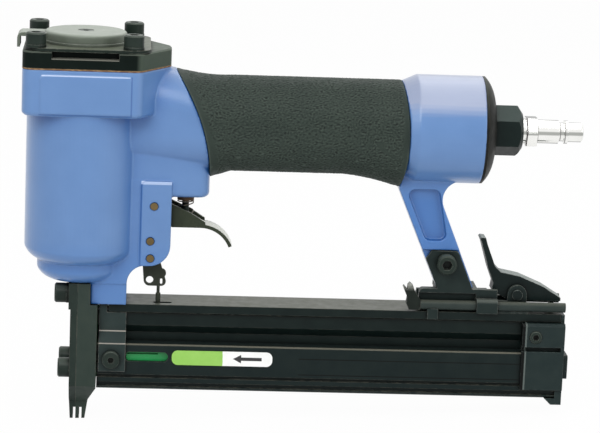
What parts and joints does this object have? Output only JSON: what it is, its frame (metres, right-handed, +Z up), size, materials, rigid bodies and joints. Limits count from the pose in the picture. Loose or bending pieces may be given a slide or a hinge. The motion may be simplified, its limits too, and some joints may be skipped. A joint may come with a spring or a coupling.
{
  "type": "pneumatic brad nailer",
  "caption": "Hand-held pneumatic brad nailer: cast body with rubber grip, exhaust cap, trigger, nose, rear-loading magazine with sliding pusher and latch, and an air plug at the back.",
  "frame": {"origin": "tip of the nose, where a brad leaves it, on the drive line", "axes": "+X from the nose back along the magazine and the handle to the air plug, +Y across the tool to its far side, +Z up the drive line from the work to the head cap"},
  "size_m": [0.2433, 0.052, 0.1707],
  "materials": {
    "body_paint": "gloss",
    "black_paint": "satin",
    "exhaust_sheet": "satin",
    "grip_rubber": "matte",
    "black_anodised": "satin",
    "black_oxide": "satin",
    "zinc_steel": "satin",
    "spring_steel": "satin",
    "nickel": "polished",
    "bare_aluminium": "satin",
    "valve_plastic": "satin",
    "brass": "satin",
    "seal_rubber": "matte",
    "bumper_rubber": "matte",
    "gasket_fibre": "matte",
    "reload_green": "satin",
    "label_film": "satin"
  },
  "bodies": {
    "frame": {"air_filter": "brass", "air_plug": "nickel", "body_casting": "body_paint", "bracket_nut": "black_oxide", "bracket_screw": "black_oxide", "bumper": "bumper_rubber", "cap_gasket": "gasket_fibre", "cap_screws": "black_oxide", "cap_washers": "zinc_steel", "cylinder_sleeve": "bare_aluminium", "deflector_screw": "black_oxide", "end_cap": "black_paint", "end_cap_seal": "seal_rubber", "exhaust_deflector": "black_paint", "exhaust_plate": "exhaust_sheet", "grip_sleeve": "grip_rubber", "guide_plates": "black_oxide", "guide_screws": "black_oxide", "head_cap": "black_paint", "head_valve_spring": "spring_steel", "hex_reducer": "black_oxide", "latch_pin": "zinc_steel", "latch_spring": "spring_steel", "leg_bracket": "black_paint", "lockout_pin": "zinc_steel", "magazine_rail": "black_anodised", "nose_body": "black_oxide", "nose_plate": "black_oxide", "nose_screws": "black_oxide", "nose_washer": "zinc_steel", "rod_hook": "zinc_steel", "side_rods": "black_oxide", "sleeve_seals": "seal_rubber", "stop_pin": "zinc_steel", "trigger_pin": "zinc_steel", "trigger_spring": "spring_steel", "trigger_valve_bush": "brass", "valve_seal": "seal_rubber", "valve_spring": "spring_steel"},
    "trigger_lever": {"trigger": "black_paint"},
    "valve": {"valve_stem": "brass"},
    "driver": {"piston": "bare_aluminium", "piston_ring": "seal_rubber", "driver_blade": "zinc_steel", "driver_pin": "zinc_steel"},
    "main_valve": {"head_valve": "valve_plastic", "head_valve_seal": "seal_rubber"},
    "lockout": {"lockout_lever": "black_paint", "feeler_rod": "zinc_steel"},
    "magazine": {"magazine_slide": "black_anodised", "reload_label": "label_film", "slide_end_cover": "black_anodised", "tail_screws": "black_oxide", "pusher_rod": "zinc_steel", "pusher_spring": "spring_steel"},
    "brad_pusher": {"pusher": "reload_green"},
    "latch": {"latch_lever": "black_oxide"}
  },
  "joints": [
    {"name": "trigger_pivot", "type": "hinge", "parent": "frame", "child": "trigger_lever", "pos_m": [0.0308, 0, 0.0965], "axis": [0, -1, 0], "range_deg": [0, 12], "stiffness_Nm_per_rad": 0.01, "springref_deg": -148.97, "deforming": ["trigger_spring"]},
    {"name": "valve_stroke", "type": "slide", "parent": "frame", "child": "valve", "axis": [0, 0, 1], "range_m": [0, 0.003], "deforming": ["valve_spring"]},
    {"name": "driver_stroke", "type": "slide", "parent": "frame", "child": "driver", "axis": [0, 0, 1], "range_m": [0, 0.0485]},
    {"name": "main_valve_stroke", "type": "slide", "parent": "frame", "child": "main_valve", "axis": [0, 0, 1], "range_m": [0, 0.004], "stiffness_N_per_m": 1500, "springref_m": -0.004, "deforming": ["head_valve_spring"]},
    {"name": "lockout_pivot", "type": "hinge", "parent": "frame", "child": "lockout", "pos_m": [0.0297, 0, 0.0738], "axis": [0, -1, 0], "range_deg": [0, 10]},
    {"name": "magazine_slide_back", "type": "slide", "parent": "frame", "child": "magazine", "axis": [1, 0, 0], "range_m": [0, 0.14]},
    {"name": "pusher_travel", "type": "slide", "parent": "magazine", "child": "brad_pusher", "axis": [1, 0, 0], "range_m": [0, 0.13], "stiffness_N_per_m": 30, "springref_m": -0.15, "deforming": ["pusher_spring"]},
    {"name": "latch_pivot", "type": "hinge", "parent": "frame", "child": "latch", "pos_m": [0.1894, 0, 0.0602], "axis": [0, -1, 0], "range_deg": [0, 12], "stiffness_Nm_per_rad": 0.25, "springref_deg": -22.92, "deforming": ["latch_spring"]}
  ],
  "couplings": [
    {"joint": "valve_stroke", "follows": "trigger_pivot", "m_per_rad": 0.0136}
  ]
}
